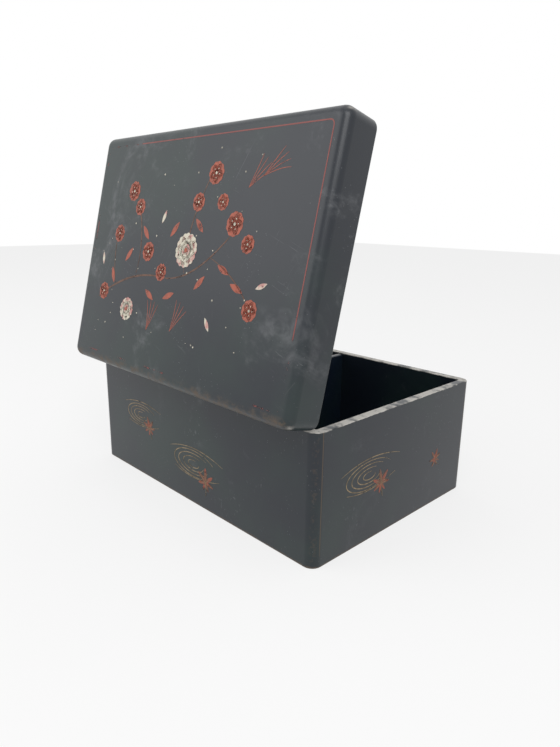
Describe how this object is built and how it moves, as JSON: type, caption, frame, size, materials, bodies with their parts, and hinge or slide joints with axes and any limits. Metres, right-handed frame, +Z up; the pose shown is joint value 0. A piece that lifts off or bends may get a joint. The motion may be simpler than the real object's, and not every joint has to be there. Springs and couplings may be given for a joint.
{
  "type": "hinged lacquer box",
  "caption": "Rectangular lacquered wooden box with a central partition and a hinged lid standing open on its rear rim.",
  "frame": {"origin": "centre of the box's underside", "axes": "+Z up, +X along the long side, +Y towards the hinged long side"},
  "size_m": [0.302, 0.2386, 0.3187],
  "materials": {
    "lacquer": "aged black lacquer, satin to gloss, worn",
    "interior_lacquer": "dark lacquer, satin",
    "hinge_brass": "tarnished",
    "screw_steel": "dull"
  },
  "bodies": {
    "box": {"box_back_wall": "lacquer", "box_front_wall": "lacquer", "box_left_end": "lacquer", "box_right_end": "lacquer", "box_floor": "interior_lacquer", "partition": "interior_lacquer", "hinge_left_box_leaf": "hinge_brass", "hinge_left_pin": "hinge_brass", "hinge_left_box_screw_1": "screw_steel", "hinge_left_box_screw_2": "screw_steel", "hinge_left_box_screw_3": "screw_steel", "hinge_right_box_leaf": "hinge_brass", "hinge_right_pin": "hinge_brass", "hinge_right_box_screw_1": "screw_steel", "hinge_right_box_screw_2": "screw_steel", "hinge_right_box_screw_3": "screw_steel"},
    "lid": {"lid_panel": "lacquer", "lid_back_rail": "lacquer", "lid_front_rail": "lacquer", "lid_left_rail": "lacquer", "lid_right_rail": "lacquer", "hinge_left_lid_leaf": "hinge_brass", "hinge_left_lid_screw_1": "screw_steel", "hinge_left_lid_screw_2": "screw_steel", "hinge_left_lid_screw_3": "screw_steel", "hinge_right_lid_leaf": "hinge_brass", "hinge_right_lid_screw_1": "screw_steel", "hinge_right_lid_screw_2": "screw_steel", "hinge_right_lid_screw_3": "screw_steel"}
  },
  "joints": [
    {"name": "lid_hinge", "type": "hinge", "parent": "box", "child": "lid", "pos_m": [0, 0.1062, 0.10715], "axis": [-1, 0, 0], "range_deg": [-76, 100]}
  ]
}
